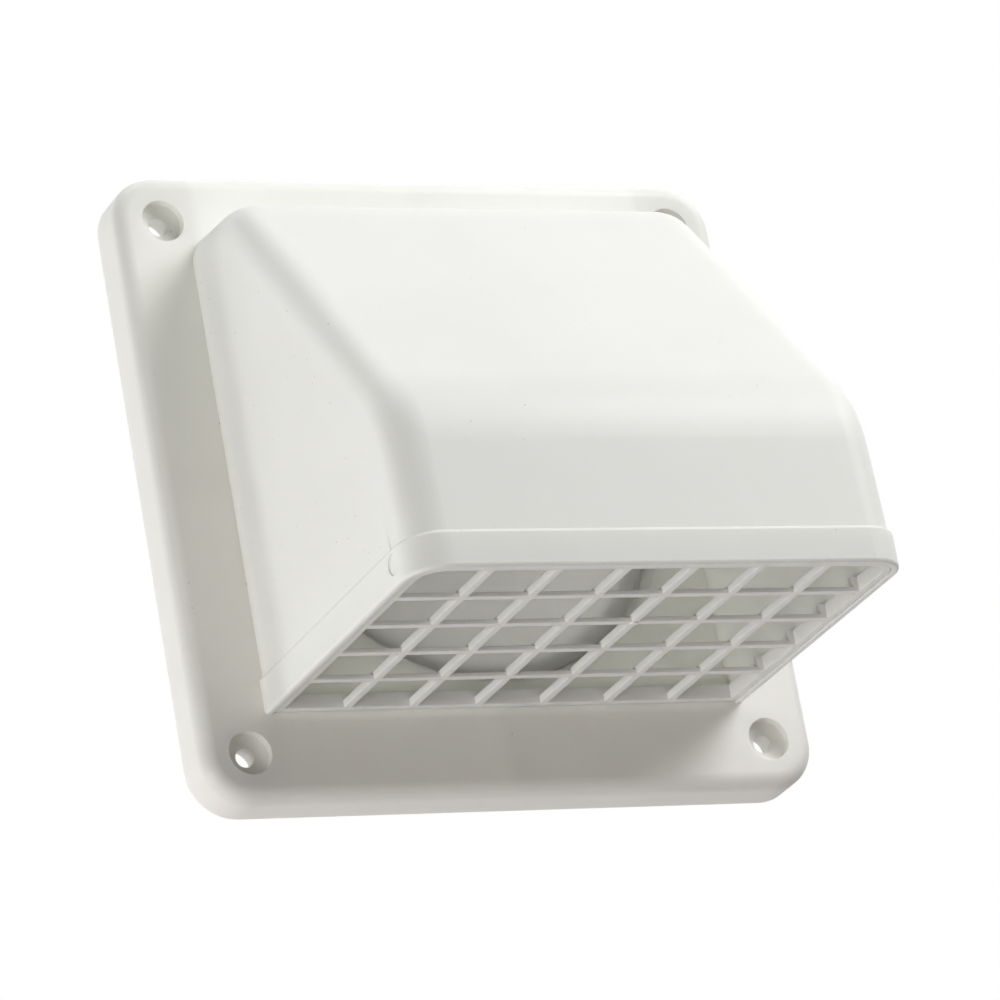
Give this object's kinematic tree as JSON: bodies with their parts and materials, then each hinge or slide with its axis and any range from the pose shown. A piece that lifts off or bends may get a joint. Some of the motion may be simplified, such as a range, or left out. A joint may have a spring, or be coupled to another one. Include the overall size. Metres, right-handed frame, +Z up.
{
  "type": "wall exhaust hood vent",
  "caption": "White plastic wall vent: square screw-on plate, sloping hood open below with a lattice guard, round duct collar behind and a hanging backdraft flap.",
  "frame": {"origin": "on the duct collar's axis, in the plane of the plate's back (the wall face)", "axes": "+Y along the collar into the wall, +Z up, X to the right; the hood stands out towards -Y"},
  "size_m": [0.165, 0.1456, 0.165],
  "materials": {
    "hood_plastic": "satin white moulded plastic",
    "guard_plastic": "satin white moulded plastic",
    "flap_plastic": "satin white moulded plastic"
  },
  "bodies": {
    "housing": {"hood_body": "hood_plastic", "grille_guard": "guard_plastic"},
    "flap": {"damper_flap": "flap_plastic"}
  },
  "joints": [
    {"name": "flap_hinge", "type": "hinge", "parent": "housing", "child": "flap", "pos_m": [0, -0.0052, 0.0485], "axis": [-1, 0, 0], "range_deg": [0, 45]}
  ]
}
